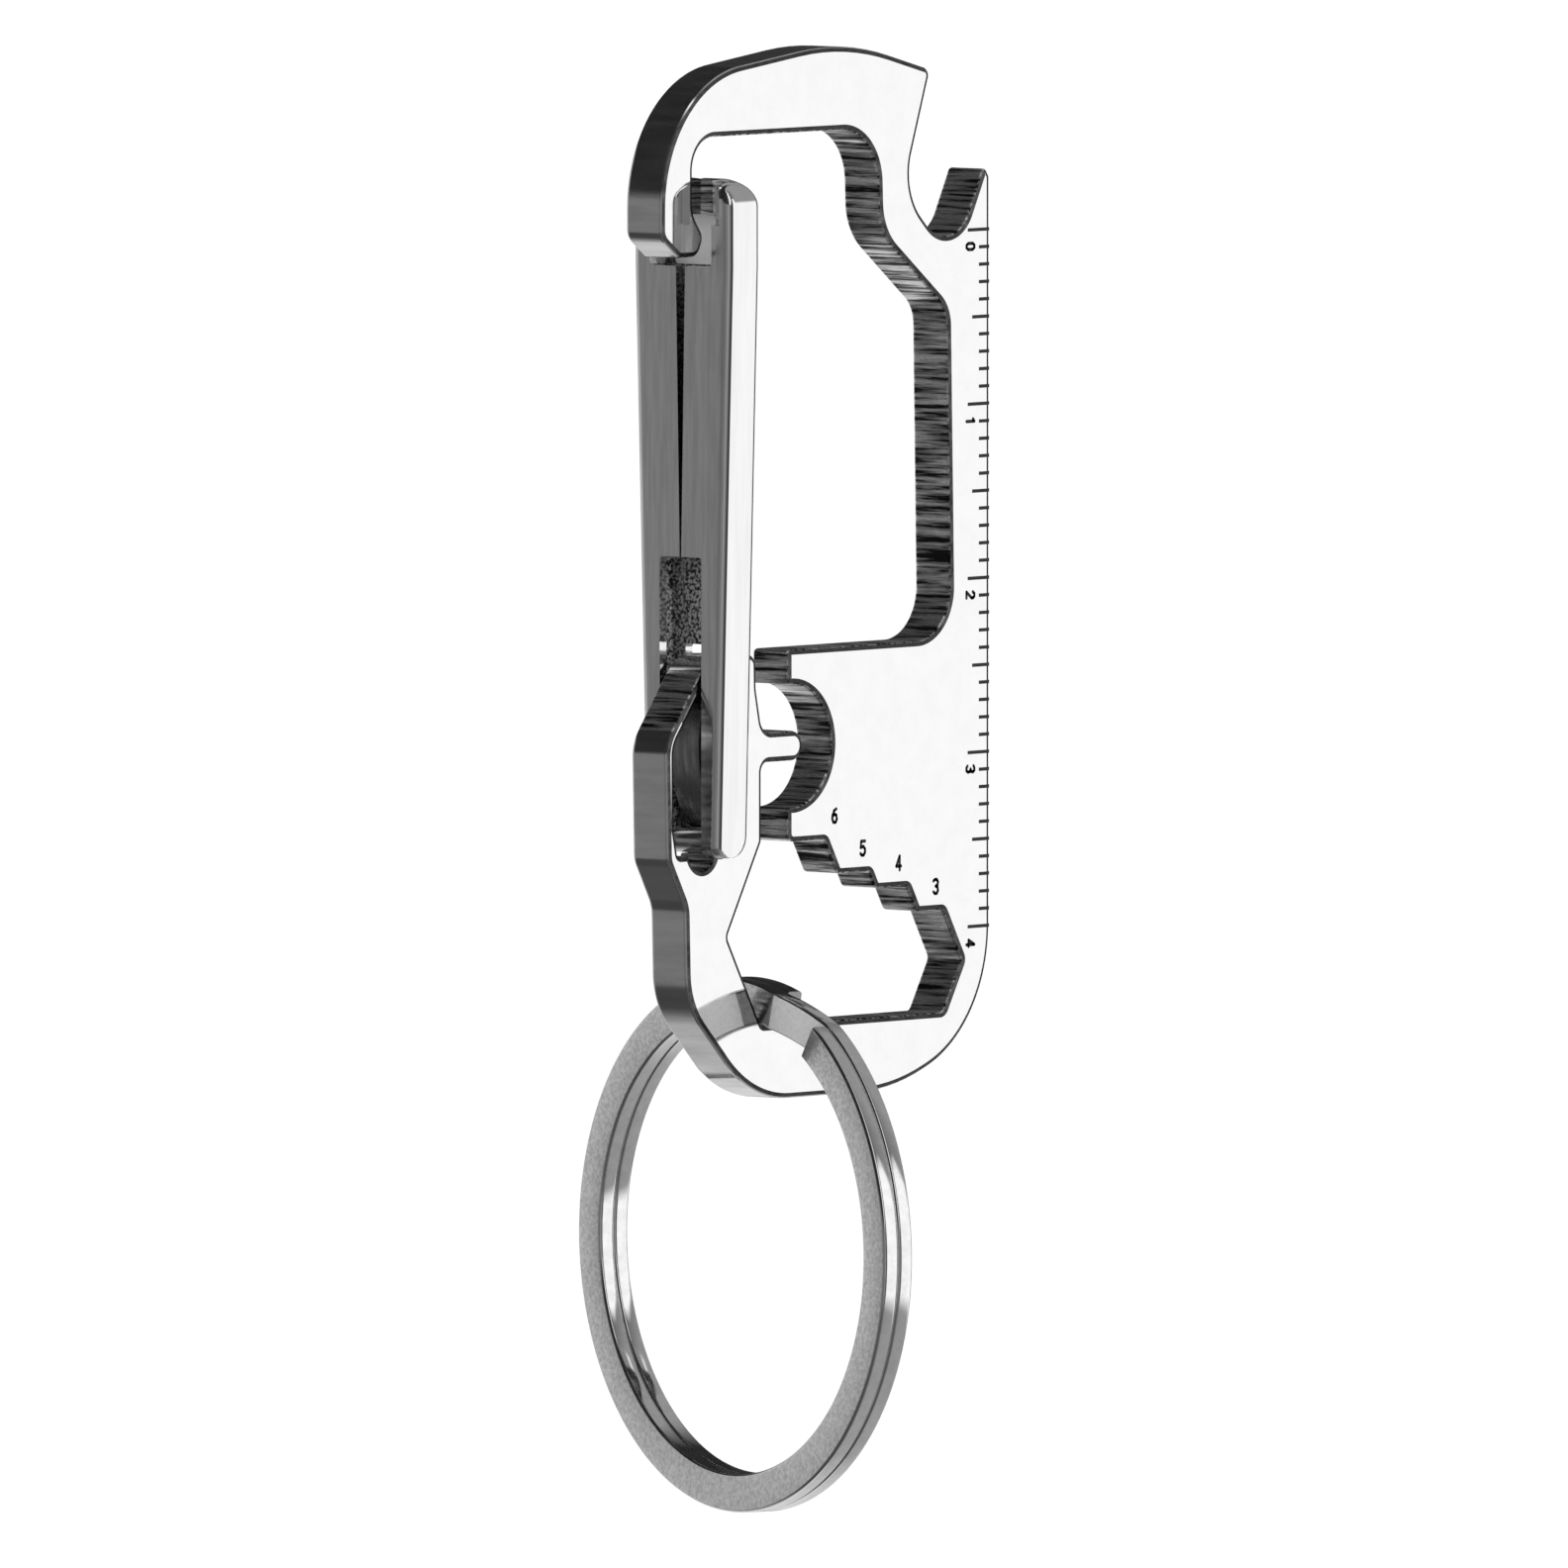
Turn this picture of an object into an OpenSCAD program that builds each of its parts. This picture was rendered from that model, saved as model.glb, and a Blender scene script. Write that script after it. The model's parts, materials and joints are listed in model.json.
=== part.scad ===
// Keychain bottle opener: a flat steel carabiner tool with a sprung gate and a split ring.
// The plate lies in the XZ plane with its marked face towards -Y. The origin is the hook seat,
// the middle of the arch's underside, where a belt loop or a cord bears on the hook.

/* [Plate] */
// Width of the plate, from the hook's back to the ruler edge
plate_w = 29.2; // [24.5:0.1:35]
// Height of the plate, from the top of the arch to the base
plate_h = 60; // [50:0.5:72]
// Thickness of the plate
plate_t = 2.7; // [2.2:0.1:3.2]
// Distance from the hook seat to the hook's back
hook_reach = 10; // [9:0.1:12]
// Depth of the arch above the hook seat
arch_band = 4.8; // [3.8:0.1:6]
// Width of the spine beside the carabiner opening
spine_w = 3.6; // [2.8:0.1:4.5]
// Height of the bar under the wrench opening
bar_h = 4.25; // [3.5:0.05:5.2]

/* [Hook and opener] */
// Thickness of the hook's arm above the nose
arm_w = 2.8; // [2.2:0.1:3.2]
// How far the nose reaches down below the seat
nose_drop = 6.8; // [5.8:0.1:8]
// How far the nose's barb stands inward of the arm
barb_reach = 0.85; // [0.5:0.05:1.2]
// Distance from the ruler edge to the beak of the opener
beak_in = 5.4; // [5:0.1:6.2]
// Depth of the opener's mouth below the seat
mouth_drop = 6.5; // [5.8:0.1:7.5]

/* [Wrench] */
// Across-flats sizes of the nuts that the steps fit, largest first
nut_sizes = [10, 8, 7, 5.5];
// Clearance of each step over its nut
nut_clear = 0.4; // [0.2:0.05:0.6]
// Relative lengths of the step flats, in the same order
flat_shares = [1.18, 1, 1, 0.82];
// Wall between the wrench opening and the ruler edge
edge_wall = 2.45; // [2:0.05:3.5]
// Radius of the round hole above the wrench opening
hole_r = 3.55; // [3:0.05:4.2]
// Width of the neck through the hole, between post and plate
neck_w = 2.3; // [2:0.1:3]
// Length of the neck above and below the round hole
neck_l = 1.95; // [1.5:0.05:2.6]
// Height of the peg that stands on the post
peg_h = 1.7; // [1.2:0.1:2.2]
// Length of the peg
peg_l = 3.6; // [2.5:0.1:4.5]

/* [Gate post] */
// Width of the post from its outer side to the neck
post_w = 8.45; // [8:0.05:9.2]
// Width of the loop's outer rim
rim_w = 0.7; // [0.6:0.05:1]
// Radius of the half-round relief under the slot
relief_r = 1.2; // [1:0.05:1.4]

/* [Gate] */
// Thickness of the gate's sheet
sheet_t = 0.6; // [0.5:0.05:0.8]
// Width of the gate's head
head_w = 7.3; // [6.8:0.1:8]
// Width of the gate's foot
foot_w = 5.5; // [5.3:0.1:6.5]
// Depth of the folded section
gate_d = 2.9; // [2.7:0.1:3.4]
// Gap between the gate's sides and the plate
gate_clear = 0.2; // [0.15:0.05:0.35]
// Width of the notch for the nose
notch_w = 4.6; // [4:0.1:5]
// Height of the notch for the nose
notch_h = 2.9; // [2.7:0.1:3.4]
// Height of the head above the notch
head_h = 2.1; // [1.8:0.1:3]
// Radius of the head's inner top corner, seen from the side
head_r = 1.6; // [1:0.1:1.8]
// Width of the seam's gap at the notch
seam_gap = 0.7; // [0.3:0.05:0.8]
// Radius of the gate's pin
pin_r = 0.75; // [0.6:0.05:0.8]
// Running clearance of the pin in its seat
pin_clear = 0.05; // [0.02:0.01:0.08]
// Thickness of the leaf spring
leaf_t = 0.3; // [0.2:0.05:0.4]
// Bow of the leaf spring
leaf_bow = 1.4; // [1:0.1:1.8]

/* [Split ring] */
// Outer diameter of the split ring
ring_d = 30.6; // [25:0.1:36.7]
// Radial width of the ring's flat wire
wire_w = 2.2; // [1.8:0.05:2.6]
// Thickness of one turn of the wire
wire_t = 1; // [0.8:0.05:1.2]
// Turn of the ring about the vertical, from the plate's normal plane
ring_yaw = 15; // [0:1:20]
// Lean of the hanging ring towards the back
ring_lean = 10; // [0:0.5:12]
// Clearance of the ring over the bar through its swing
ring_clear = 0.08; // [0.05:0.01:0.2]

/* [Marks] */
// Depth of the engraving
mark_depth = 0.12; // [0.08:0.01:0.2]
// Width of an engraved line
line_w = 0.2; // [0.15:0.01:0.3]
// Height of the ruler's digits
ruler_digit = 0.9; // [0.7:0.05:1.1]
// Height of the size digits by the wrench steps
size_digit = 1.0; // [0.8:0.05:1.2]

/* [Hidden] */
$fn = 64;
arc_step = 6;
over = 0.5;

// Levels and sides of the plate
left = -hook_reach;
right = left + plate_w;
top = arch_band;
base = top - plate_h;
wrench_floor = base + bar_h;
step_z = [for (size = nut_sizes) wrench_floor + size + nut_clear];
hole_z = step_z[0] + neck_l + hole_r;
deck_z = hole_z + hole_r + neck_l;
post_out = left + 0.45;
post_in = post_out + post_w;
neck_in = post_in + neck_w;
hole_x = neck_in + 0.35;

// The wrench's hexagon corners, all with 60 degree sides
hex_half = (nut_sizes[0] + nut_clear) / 2;
last_half = (nut_sizes[3] + nut_clear) / 2;
hex_left = post_in - hex_half / tan(60);
hex_right = right - edge_wall;
step_drop = [for (i = [0:2]) step_z[i] - step_z[i + 1]];
flats_run = hex_right - last_half / tan(60) - neck_in - (step_z[0] - step_z[3]) / tan(60);
share_sum = flat_shares[0] + flat_shares[1] + flat_shares[2] + flat_shares[3];
flat_l = [for (share = flat_shares) flats_run * share / share_sum];

// The loop that carries the gate
slot_floor = step_z[0] - 0.4;
relief_z = slot_floor + 0.3;
slot_left = post_out + rim_w;
slot_top = deck_z - 0.95;
gate_mid = post_out + rim_w + 3.55;
slot_right = gate_mid + pin_r + pin_clear;
relief_x = gate_mid - 1.1;
pin_z = slot_floor + pin_r + pin_clear;

// The gate
gate_out = gate_mid - gate_d / 2;
gate_in = gate_mid + gate_d / 2;
notch_floor = -nose_drop - 0.55;
notch_top = notch_floor + notch_h;
gate_top = notch_top + head_h;
gate_foot = slot_floor - 0.15;
fork_half = plate_t / 2 + gate_clear;
window_top = deck_z + 5.6;
web_slot_top = deck_z + 0.5;

// The ring
ring_r = ring_d / 2;
ring_in_r = ring_r - wire_w;
swing_drop = 6;
swing_z = wrench_floor - swing_drop;
bar_half = (plate_t / 2 + wire_t * sin(ring_yaw)) / cos(ring_yaw);
ring_drop = ring_in_r - norm([bar_half, swing_drop]) - ring_clear;

// The ruler
corner_r = 8.5;
ruler_zero = 0.35 - mouth_drop;
ruler_end = base + 8.7;
tick_count = floor(ruler_zero - ruler_end) + 1;

// Place of each size digit along X, from the end of its step
size_offset = [0.8, -0.65, -0.85, -0.7];

// ---- outlines -------------------------------------------------------------

function unit(v) = v / norm(v);
function flat(p) = [p[0], p[1]];

// The arc that rounds corner b, given as [x, z, radius], between its neighbours a and c
function rounded_corner(a, b, c) =
    let (to_a = unit(flat(a) - flat(b)),
         to_c = unit(flat(c) - flat(b)),
         half = acos(to_a * to_c) / 2,
         middle = flat(b) + unit(to_a + to_c) * b[2] / sin(half),
         first = flat(b) + to_a * b[2] / tan(half) - middle,
         turn = 180 - 2 * half,
         way = sign(to_a[1] * to_c[0] - to_a[0] * to_c[1]),
         start = atan2(first[1], first[0]),
         steps = ceil(turn / arc_step))
    [for (i = [0:steps])
        middle + b[2] * [cos(start + way * turn * i / steps), sin(start + way * turn * i / steps)]];

// An outline of corners [x, z, radius], where a radius of 0 keeps the corner sharp
function rounded(corners) =
    let (n = len(corners))
    [for (i = [0:n - 1])
        let (b = corners[i])
        each b[2] == 0 ? [flat(b)] : rounded_corner(corners[(i + n - 1) % n], b, corners[(i + 1) % n])];

// Hook, arch and bottle opener, from the hook's back to the top of the ruler edge
function arch_corners() = [
    [left, 1.15 - nose_drop, 1],
    [left, top - 1.68, 8],
    [right - 12.9, top + 0.34, 22],
    [right - beak_in + 0.15, top - 1.6, 0.5],
    [right - beak_in - 2.25, 2.8 - mouth_drop, 3.5],
    [right - 3.25, -mouth_drop - 1.4, 2.3],
    [right - 0.45, 4.05 - mouth_drop, 0.25],
    [right, 3.4 - mouth_drop, 0.3]];

// Ruler edge, base and the outer side of the gate post
function base_corners() = [
    [right, base + 3.3, corner_r],
    [right - 8.6, base, 16],
    [post_out + 7.55, base, 8],
    [post_out + 1.85, base + 5.7, 4.5],
    [post_out + 1.7, base + 11.3, 2],
    [post_out + 0.15, base + 14, 1.5],
    [post_out, deck_z - 4.9, 2.5],
    [post_out + 3.85, deck_z + 0.05, 2.5],
    [post_in - 0.5, deck_z - 0.15, 0.65]];

// Inner side of the post with its peg, then the wrench opening and its steps
function wrench_corners() = [
    [post_in - 0.45, hole_z + 3.4, 2],
    [post_in + 0.1, hole_z + peg_h / 2, 0.9],
    [post_in + peg_l, hole_z + peg_h / 2, peg_h / 2 - 0.01],
    [post_in + peg_l, hole_z - peg_h / 2, peg_h / 2 - 0.01],
    [post_in, hole_z - peg_h / 2, 0.6],
    [post_in, step_z[0] + 0.1, 0.4],
    [hex_left, wrench_floor + hex_half, 0.4],
    [post_in, wrench_floor, 0.3],
    [hex_right - last_half / tan(60), wrench_floor, 0.5],
    [hex_right, wrench_floor + last_half, 0.4],
    each [for (i = [3:-1:0]) each step_corners(i)]];

// The two ends of one step flat, right end first
function step_corners(i) = [
    [step_start(i) + flat_l[i], step_z[i], 0.35],
    [step_start(i), step_z[i], i == 0 ? 0.5 : 0.35]];

function step_start(i) =
    i == 0 ? neck_in : step_start(i - 1) + flat_l[i - 1] + step_drop[i - 1] / tan(60);

// The neck's plate side, then the carabiner opening round to the nose
function opening_corners() = [
    [neck_in, deck_z, 0.25],
    [right - spine_w + 0.15, deck_z, 3],
    [right - spine_w - 0.2, -mouth_drop - 4.1, 2],
    [right - spine_w - 6.2, 0.5 - mouth_drop, 3.5],
    [right - spine_w - 6.4, 0, 3.2],
    [left + arm_w, 0, 1.9],
    [left + arm_w, 2.5 - nose_drop, 1.6],
    [left + arm_w + barb_reach + 0.15, 1.15 - nose_drop, 0.7],
    [left + arm_w + barb_reach - 0.4, -nose_drop, 0.8],
    [left + 1.6, -nose_drop, 0.3]];

function slot_corners() = [
    [slot_left, deck_z - 5.1, 1.6],
    [slot_left + 3.25, slot_top, 0.4],
    [slot_right, slot_top, 0.3],
    [slot_right, slot_floor, 0.25],
    [slot_left + 0.35, slot_floor, 0.25],
    [slot_left, slot_floor + 1.6, 1]];

// ---- helpers --------------------------------------------------------------

// Stands a drawing in X and Z up, with its extrusion centred on Y = 0
module upright(depth) {
    rotate([90, 0, 0]) linear_extrude(depth, center = true) children();
}

// Sinks a drawing into the plate's front face
module engraved() {
    translate([0, mark_depth - plate_t / 2, 0]) rotate([90, 0, 0]) linear_extrude(mark_depth) children();
}

// One straight stroke of a digit with round ends
module stroke(a, b) {
    run = b - a;
    translate(a) rotate(atan2(run[1], run[0])) translate([0, -line_w / 2]) square([norm(run), line_w]);
    translate(a) circle(d = line_w, $fn = 16);
    translate(b) circle(d = line_w, $fn = 16);
}

// Digits on a grid 2 wide and 4 high, as the points of one bent line
function digit_points(n) =
    n == 0 ? [[0.6, 0], [0, 0.9], [0, 3.1], [0.6, 4], [1.4, 4], [2, 3.1], [2, 0.9], [1.4, 0], [0.6, 0]] :
    n == 1 ? [[0.4, 3.3], [1.2, 4], [1.2, 0]] :
    n == 2 ? [[0, 3.2], [0.6, 4], [1.5, 4], [2, 3.3], [2, 2.6], [0, 0], [2, 0]] :
    n == 3 ? [[0, 3.6], [0.6, 4], [1.5, 4], [2, 3.3], [1.8, 2.4], [1, 2.1], [1.8, 1.8], [2, 0.8], [1.5, 0],
              [0.6, 0], [0, 0.5]] :
    n == 4 ? [[1.5, 0], [1.5, 4], [0, 1.1], [2.1, 1.1]] :
    n == 5 ? [[2, 4], [0.3, 4], [0.1, 2.2], [1.3, 2.5], [2, 1.7], [2, 0.8], [1.4, 0], [0.5, 0], [0, 0.5]] :
             [[1.8, 3.8], [0.9, 3.4], [0.1, 2], [0, 1], [0.5, 0], [1.5, 0], [2, 0.8], [1.8, 2], [1, 2.3],
              [0.1, 1.7]];

// A digit centred on the origin
module digit(n, height) {
    points = [for (p = digit_points(n)) (p - [1, 2]) * (height - line_w) / 4];
    for (i = [1:len(points) - 1]) stroke(points[i - 1], points[i]);
}

function tick_length(i) = i % 10 == 0 ? 2 : i % 5 == 0 ? 1.6 : 1;

module ruler_drawing() {
    for (i = [0:tick_count - 1])
        translate([right - tick_length(i), ruler_zero - i - line_w / 2])
            square([tick_length(i) + (i == 0 ? -0.15 : 0), line_w]);
    for (i = [0:10:tick_count - 1])
        translate([right - 1.75, ruler_zero - i - 0.95]) rotate(-90) digit(i / 10, ruler_digit);
}

module size_drawing() {
    for (i = [0:3])
        translate([step_start(i) + flat_l[i] + size_offset[i], step_z[i] + 1.35])
            digit([6, 5, 4, 3][i], size_digit);
}

// ---- the gate's folded form -----------------------------------------------

// Side view of the gate, with a round head and foot
function gate_side() = [
    [gate_out, gate_foot, 0.7],
    [gate_in, gate_foot, 1.2],
    [gate_in, gate_top, head_r],
    [gate_out, gate_top, gate_d - head_r - 0.1]];

// Front view of the gate, which narrows towards the foot
function gate_front() = [
    [-head_w / 2, gate_top, 1.6],
    [head_w / 2, gate_top, 1.6],
    [head_w / 2, notch_floor, 0],
    [foot_w / 2, gate_foot - over, 0],
    [-foot_w / 2, gate_foot - over, 0],
    [-head_w / 2, notch_floor, 0]];

// Front view of the space between the cheeks, which ends under the solid head
function cheek_gap() =
    let (wide = head_w / 2 - sheet_t, narrow = foot_w / 2 - sheet_t)
    [[-wide, notch_top - 0.4], [wide, notch_top - 0.4], [wide, notch_floor],
        [narrow, gate_foot - 2 * over], [-narrow, gate_foot - 2 * over], [-wide, notch_floor]];

// Extrudes a drawing in Y and Z along X, from one side of the gate
module sideways(from, depth) {
    translate([from, 0, 0]) rotate([90, 0, 90]) linear_extrude(depth) children();
}

module gate_shell() {
    intersection() {
        upright(head_w + 2 * over) polygon(rounded(gate_side()));
        union() {
            sideways(gate_out - over, gate_d + 2 * over) difference() {
                polygon(rounded(gate_front()));
                polygon(cheek_gap());
            }
            for (from = [gate_out, gate_in - sheet_t]) sideways(from, sheet_t) polygon(rounded(gate_front()));
        }
    }
}

// ---- sub-parts ------------------------------------------------------------

module body_plate() {
    color("silver") difference() {
        upright(plate_t) difference() {
            polygon(rounded(concat(arch_corners(), base_corners(), wrench_corners(), opening_corners())));
            intersection() {
                translate([hole_x, hole_z]) circle(hole_r);
                translate([neck_in - over, hole_z - hole_r]) square(2 * hole_r);
            }
            polygon(rounded(slot_corners()));
            translate([relief_x, relief_z]) circle(relief_r);
        }
        engraved() ruler_drawing();
        engraved() size_drawing();
    }
}

module gate() {
    color("gray") difference() {
        gate_shell();
        // notch for the nose
        translate([gate_out - over, -notch_w / 2, notch_floor]) cube([gate_d - sheet_t + over, notch_w, notch_h]);
        // the head is pressed in above the notch
        translate([0, 0, notch_top - over]) linear_extrude(head_h + 2 * over)
            polygon([[gate_out - over, -head_w / 2], [gate_out + 1.8, 0], [gate_out - over, head_w / 2]]);
        // seam between the flanges
        sideways(gate_out - over, sheet_t + 2 * over)
            polygon([[-seam_gap / 2, notch_floor + over], [seam_gap / 2, notch_floor + over],
                [0.05, window_top - over], [-0.05, window_top - over]]);
        // fork that straddles the plate's loop
        translate([gate_out - over, -fork_half, gate_foot - over])
            cube([sheet_t + 2 * over, 2 * fork_half, window_top - gate_foot + over]);
        translate([gate_in - sheet_t - over, -fork_half, gate_foot - over])
            cube([sheet_t + 2 * over, 2 * fork_half, web_slot_top - gate_foot + over]);
        translate([gate_mid, 0, pin_z]) rotate([90, 0, 0]) cylinder(r = pin_r, h = pin_length(), center = true);
    }
}

// The pin's ends are set into half of each cheek
function pin_length() = foot_w - sheet_t;

module gate_pin() {
    color("darkgray") translate([gate_mid, 0, pin_z]) rotate([90, 0, 0])
        cylinder(r = pin_r, h = pin_length(), center = true);
}

// A bowed leaf that stands between the slot's top and the pin
module gate_spring() {
    foot = pin_z + pin_r + pin_clear;
    half_l = (slot_top - foot) / 2;
    bend_r = (half_l * half_l + leaf_bow * leaf_bow) / (2 * leaf_bow);
    sweep = asin(half_l / bend_r);
    middle = [gate_mid + 0.3 - leaf_bow + bend_r, foot + half_l];
    steps = 16;
    color("slategray") upright(plate_t - 0.6) polygon(concat(
        [for (i = [0:steps]) leaf_point(middle, bend_r, sweep * (1 - 2 * i / steps))],
        [for (i = [steps:-1:0]) leaf_point(middle, bend_r - leaf_t, sweep * (1 - 2 * i / steps))]));
}

function leaf_point(middle, radius, angle) = middle - radius * [cos(angle), sin(angle)];

// Two turns of flat wire that lie against each other, with a fine groove where they meet
module split_ring() {
    groove = 0.12;
    edge = 0.15;
    color("lightgray") translate([0, 0, swing_z]) rotate([0, 0, -ring_yaw]) rotate([ring_lean, 0, 0])
        translate([0, 0, -ring_drop]) rotate([0, 90, 0]) rotate_extrude($fn = 96)
            polygon([[ring_in_r + edge, -wire_t], [ring_r - edge, -wire_t], [ring_r, edge - wire_t],
                [ring_r, -groove], [ring_r - groove, 0], [ring_r, groove], [ring_r, wire_t - edge],
                [ring_r - edge, wire_t], [ring_in_r + edge, wire_t], [ring_in_r, wire_t - edge],
                [ring_in_r, groove], [ring_in_r + groove, 0], [ring_in_r, -groove], [ring_in_r, edge - wire_t]]);
}

module ruler_marks() {
    color("black") engraved() ruler_drawing();
}

module size_marks() {
    color("black") engraved() size_drawing();
}

body_plate();
gate();
gate_pin();
gate_spring();
split_ring();
ruler_marks();
size_marks();
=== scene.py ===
import json
import math

import bmesh
import bpy
from mathutils import Matrix, Vector
from mathutils.geometry import tessellate_polygon


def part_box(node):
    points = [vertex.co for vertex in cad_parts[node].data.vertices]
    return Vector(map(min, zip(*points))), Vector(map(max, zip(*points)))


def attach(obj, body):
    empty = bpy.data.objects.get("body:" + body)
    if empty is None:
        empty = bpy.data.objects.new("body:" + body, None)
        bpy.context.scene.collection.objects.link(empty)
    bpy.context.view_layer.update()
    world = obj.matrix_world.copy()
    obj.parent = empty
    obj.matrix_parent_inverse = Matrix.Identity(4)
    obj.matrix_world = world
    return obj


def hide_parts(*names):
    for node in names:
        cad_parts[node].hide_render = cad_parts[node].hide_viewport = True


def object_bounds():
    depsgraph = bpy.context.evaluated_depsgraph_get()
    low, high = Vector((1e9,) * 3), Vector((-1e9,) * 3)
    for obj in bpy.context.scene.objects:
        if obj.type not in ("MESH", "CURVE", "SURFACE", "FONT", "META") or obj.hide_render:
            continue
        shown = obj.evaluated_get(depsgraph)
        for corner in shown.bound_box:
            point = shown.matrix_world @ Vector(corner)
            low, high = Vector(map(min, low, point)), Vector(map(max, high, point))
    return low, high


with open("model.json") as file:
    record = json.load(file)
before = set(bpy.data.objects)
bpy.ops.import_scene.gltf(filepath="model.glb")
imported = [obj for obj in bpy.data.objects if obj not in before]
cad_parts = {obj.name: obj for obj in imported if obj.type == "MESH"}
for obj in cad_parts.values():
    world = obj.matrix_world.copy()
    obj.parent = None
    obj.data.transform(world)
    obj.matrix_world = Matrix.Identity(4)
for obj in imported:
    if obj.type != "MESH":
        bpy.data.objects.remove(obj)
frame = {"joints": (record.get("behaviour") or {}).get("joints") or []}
cad_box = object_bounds()

MM = 0.001
TAN60 = math.tan(math.radians(60))

# ---- driving sizes in millimetres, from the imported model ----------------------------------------

plate_low, plate_high = (Vector(corner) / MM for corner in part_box("body_plate"))
gate_low, gate_high = (Vector(corner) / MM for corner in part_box("gate"))
pin_low, pin_high = (Vector(corner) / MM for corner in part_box("gate_pin"))
spring_low, spring_high = (Vector(corner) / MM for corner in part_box("gate_spring"))
ring_joint = next(joint for joint in frame["joints"] if joint["name"] == "ring_swing")

LEFT, RIGHT = plate_low.x, plate_high.x
FRONT, BACK = plate_low.y, plate_high.y
BASE, TOP = plate_low.z, plate_high.z
PLATE_T = BACK - FRONT
# Rounded edges as (drawn in, sunk): a wide shallow band, then the turn into the wall
EDGE = ((0.3, 0), (0.08, 0.06), (0.02, 0.14), (0, 0.22))
LEAF_EDGE = ((0.05, 0), (0.015, 0.015), (0, 0.05))

# Hook, spine and opener
ARM_W = 2.8
NOSE_DROP = 6.8
BARB_REACH = 0.85
SPINE_W = 3.6
BEAK_IN = 5.4
MOUTH_DROP = 6.5

# Wrench opening, neck, hole and post
BAR_H = 4.25
NUTS = (10, 8, 7, 5.5)
NUT_CLEAR = 0.4
FLAT_SHARES = (1.18, 1, 1, 0.82)
EDGE_WALL = 2.45
HOLE_R = 3.55
NECK_W = 2.3
NECK_L = 1.95
PEG_H = 1.7
PEG_L = 3.6
POST_W = 8.45
RIM_W = 0.7
RELIEF_R = 1.2
CORNER_R = 8.5

FLOOR_Z = BASE + BAR_H
STEP_Z = [FLOOR_Z + nut + NUT_CLEAR for nut in NUTS]
HOLE_Z = STEP_Z[0] + NECK_L + HOLE_R
DECK_Z = HOLE_Z + HOLE_R + NECK_L
POST_OUT = LEFT + 0.45
POST_IN = POST_OUT + POST_W
NECK_IN = POST_IN + NECK_W
HOLE_X = NECK_IN + 0.35
HEX_HALF = (NUTS[0] + NUT_CLEAR) / 2
LAST_HALF = (NUTS[3] + NUT_CLEAR) / 2
HEX_LEFT = POST_IN - HEX_HALF / TAN60
HEX_RIGHT = RIGHT - EDGE_WALL
FLATS_RUN = HEX_RIGHT - LAST_HALF / TAN60 - NECK_IN - (STEP_Z[0] - STEP_Z[3]) / TAN60
FLAT_L = [FLATS_RUN * share / sum(FLAT_SHARES) for share in FLAT_SHARES]
SLOT_FLOOR = STEP_Z[0] - 0.4
SLOT_LEFT = POST_OUT + RIM_W
SLOT_RIGHT = pin_high.x + 0.05
SLOT_TOP = DECK_Z - 0.95

# Gate
SHEET_T = 0.6
HEAD_HALF = gate_high.y
FOOT_HALF = 2.75
GATE_OUT, GATE_IN = gate_low.x, gate_high.x
GATE_MID = (GATE_OUT + GATE_IN) / 2
GATE_TOP, GATE_FOOT = gate_high.z, gate_low.z
HEAD_ROUND = 1.6
BACK_ROUND = GATE_IN - GATE_OUT - HEAD_ROUND - 0.1
FOOT_ROUND_OUT = 0.7
FOOT_ROUND_IN = 1.2
FOLD_ROUND = 0.6
CUT_ROUND = 0.2
NOTCH_ROUND = 0.25
PRESS_DEPTH = 1.8
NOTCH_HALF = 2.3
NOTCH_FLOOR = -NOSE_DROP - 0.55
NOTCH_TOP = NOTCH_FLOOR + 2.9
SEAM_HALF = 0.35
FORK_HALF = PLATE_T / 2 + 0.2
WINDOW_TOP = DECK_Z + 5.6
WEB_SLOT_TOP = DECK_Z + 0.5

# Pin and leaf spring
PIN_CHAMFER = 0.12
LEAF_T = 0.3
LEAF_BOW = 1.4

# Split ring
RING_R = 15.3
WIRE_W = 2.2
WIRE_T = 1.0
RING_YAW = math.radians(-15)
RING_LEAN = math.radians(10)
SWING = Vector(ring_joint["pos_m"]) / MM
BAR_HALF = (PLATE_T / 2 + WIRE_T * math.sin(-RING_YAW)) / math.cos(RING_YAW)
RING_DROP = RING_R - WIRE_W - math.hypot(BAR_HALF, FLOOR_Z - SWING.z) - 0.08
RAMP_FROM, RAMP_TO = math.radians(17) - RING_LEAN, math.radians(31.6) - RING_LEAN
WIRE_GAP = 0.012
WIRE_STEPS = 720

# Marks
MARK_DEPTH = 0.12
CUT_PAST = 0.3
FILL_SINK = 0.025
FILL_SHORT = 0.04
LINE_W = 0.2
RULER_ZERO = 0.35 - MOUTH_DROP
TICKS = math.floor(RULER_ZERO - (BASE + 8.7)) + 1
RULER_DIGIT = 0.9
SIZE_DIGIT = 1.0
SIZE_OFFSET = (0.8, -0.65, -0.85, -0.7)


# ---- outlines in the plate's plane, as (x, z) ----------------------------------------------------

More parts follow.
